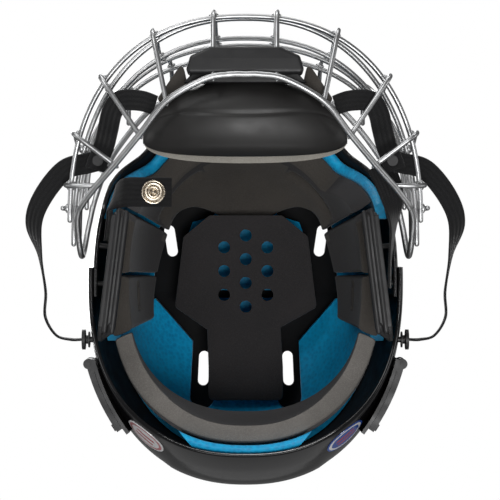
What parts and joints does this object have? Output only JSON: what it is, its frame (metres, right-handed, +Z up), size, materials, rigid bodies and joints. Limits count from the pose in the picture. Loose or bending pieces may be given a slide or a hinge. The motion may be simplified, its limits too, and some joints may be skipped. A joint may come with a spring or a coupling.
{
  "type": "ice hockey helmet with wire face cage",
  "caption": "Two-shell ice hockey helmet with blue foam liner, grey comfort pads, tip-up silver wire cage, chin cup, side straps and tool-free rear size adjustment.",
  "frame": {"origin": "on the ground under the middle of the whole object's box", "axes": "+Z up through the crown, the face and cage look along -Y, the wearer's left is +X"},
  "size_m": [0.3, 0.3264, 0.2579],
  "materials": {
    "shell": "glossy, lightly scuffed",
    "trim": "satin moulded",
    "liner_foam": "bright blue moulded bead foam",
    "pad_foam": "fine-grained closed-cell foam",
    "cup": "smooth moulded skin",
    "cup_lining": "brushed lining",
    "webbing": "woven webbing",
    "wire": "satin silver enamel",
    "steel": "warm nickel plate",
    "decal": "printed vinyl"
  },
  "bodies": {
    "helmet": {"front_shell": "shell", "front_liner": "liner_foam", "crown_pad": "pad_foam", "forehead_pad": "pad_foam", "temple_pad_left": "pad_foam", "temple_pad_right": "pad_foam", "side_pad_left": "pad_foam", "side_pad_right": "pad_foam", "ear_guard_left": "trim", "ear_guard_right": "trim", "ear_guard_screws": "steel", "hinge_clip_left": "trim", "hinge_clip_right": "trim", "hinge_clip_screws": "steel", "visor_inserts": "steel", "chin_strap_left": "webbing", "chin_strap_right": "webbing", "chin_snap": "steel"},
    "rear_section": {"rear_shell": "shell", "rear_liner": "liner_foam", "occipital_pad": "pad_foam", "shell_decals": "decal", "strap_studs": "steel", "adjuster_base_left": "trim", "adjuster_base_right": "trim", "adjuster_pins": "steel"},
    "lever_left": {"adjuster_lever_left": "shell"},
    "lever_right": {"adjuster_lever_right": "shell"},
    "cage": {"hinge_bar": "wire", "cage_frame_left": "wire", "cage_frame_right": "wire", "cross_wire_1": "wire", "cross_wire_2": "wire", "cross_wire_3": "wire", "cross_wire_4": "wire", "cross_wire_5": "wire", "upright_pair_1": "wire", "upright_pair_2": "wire", "upright_pair_3": "wire", "upright_pair_4": "wire", "upright_pair_5": "wire", "upright_pair_6": "wire", "chin_cup": "cup", "chin_cup_lining": "cup_lining", "chin_cup_band": "webbing", "chin_cup_wings": "pad_foam", "cup_strap_left": "webbing", "cup_strap_right": "webbing", "strap_rivets": "steel"},
    "strap_left": {"side_strap_left": "webbing", "snap_socket_left": "steel"},
    "strap_right": {"side_strap_right": "webbing", "snap_socket_right": "steel"}
  },
  "joints": [
    {"name": "cage_hinge", "type": "hinge", "parent": "helmet", "child": "cage", "pos_m": [0, -0.11507, 0.1824], "axis": [-1, 0, 0], "range_deg": [0, 95]},
    {"name": "rear_slide", "type": "slide", "parent": "helmet", "child": "rear_section", "axis": [0, 1, 0], "range_m": [0, 0.015]},
    {"name": "lever_left_hinge", "type": "hinge", "parent": "rear_section", "child": "lever_left", "pos_m": [0.10815, 0.07651, 0.0984], "axis": [0, 0, -1], "range_deg": [0, 75]},
    {"name": "lever_right_hinge", "type": "hinge", "parent": "rear_section", "child": "lever_right", "pos_m": [-0.10815, 0.07651, 0.0984], "axis": [0, 0, 1], "range_deg": [0, 75]},
    {"name": "strap_left_swing", "type": "hinge", "parent": "cage", "child": "strap_left", "pos_m": [0.099, -0.06207, 0.0604], "axis": [0, 0, -1], "range_deg": [0, 22]},
    {"name": "strap_right_swing", "type": "hinge", "parent": "cage", "child": "strap_right", "pos_m": [-0.099, -0.06207, 0.0604], "axis": [0, 0, 1], "range_deg": [0, 22]}
  ]
}
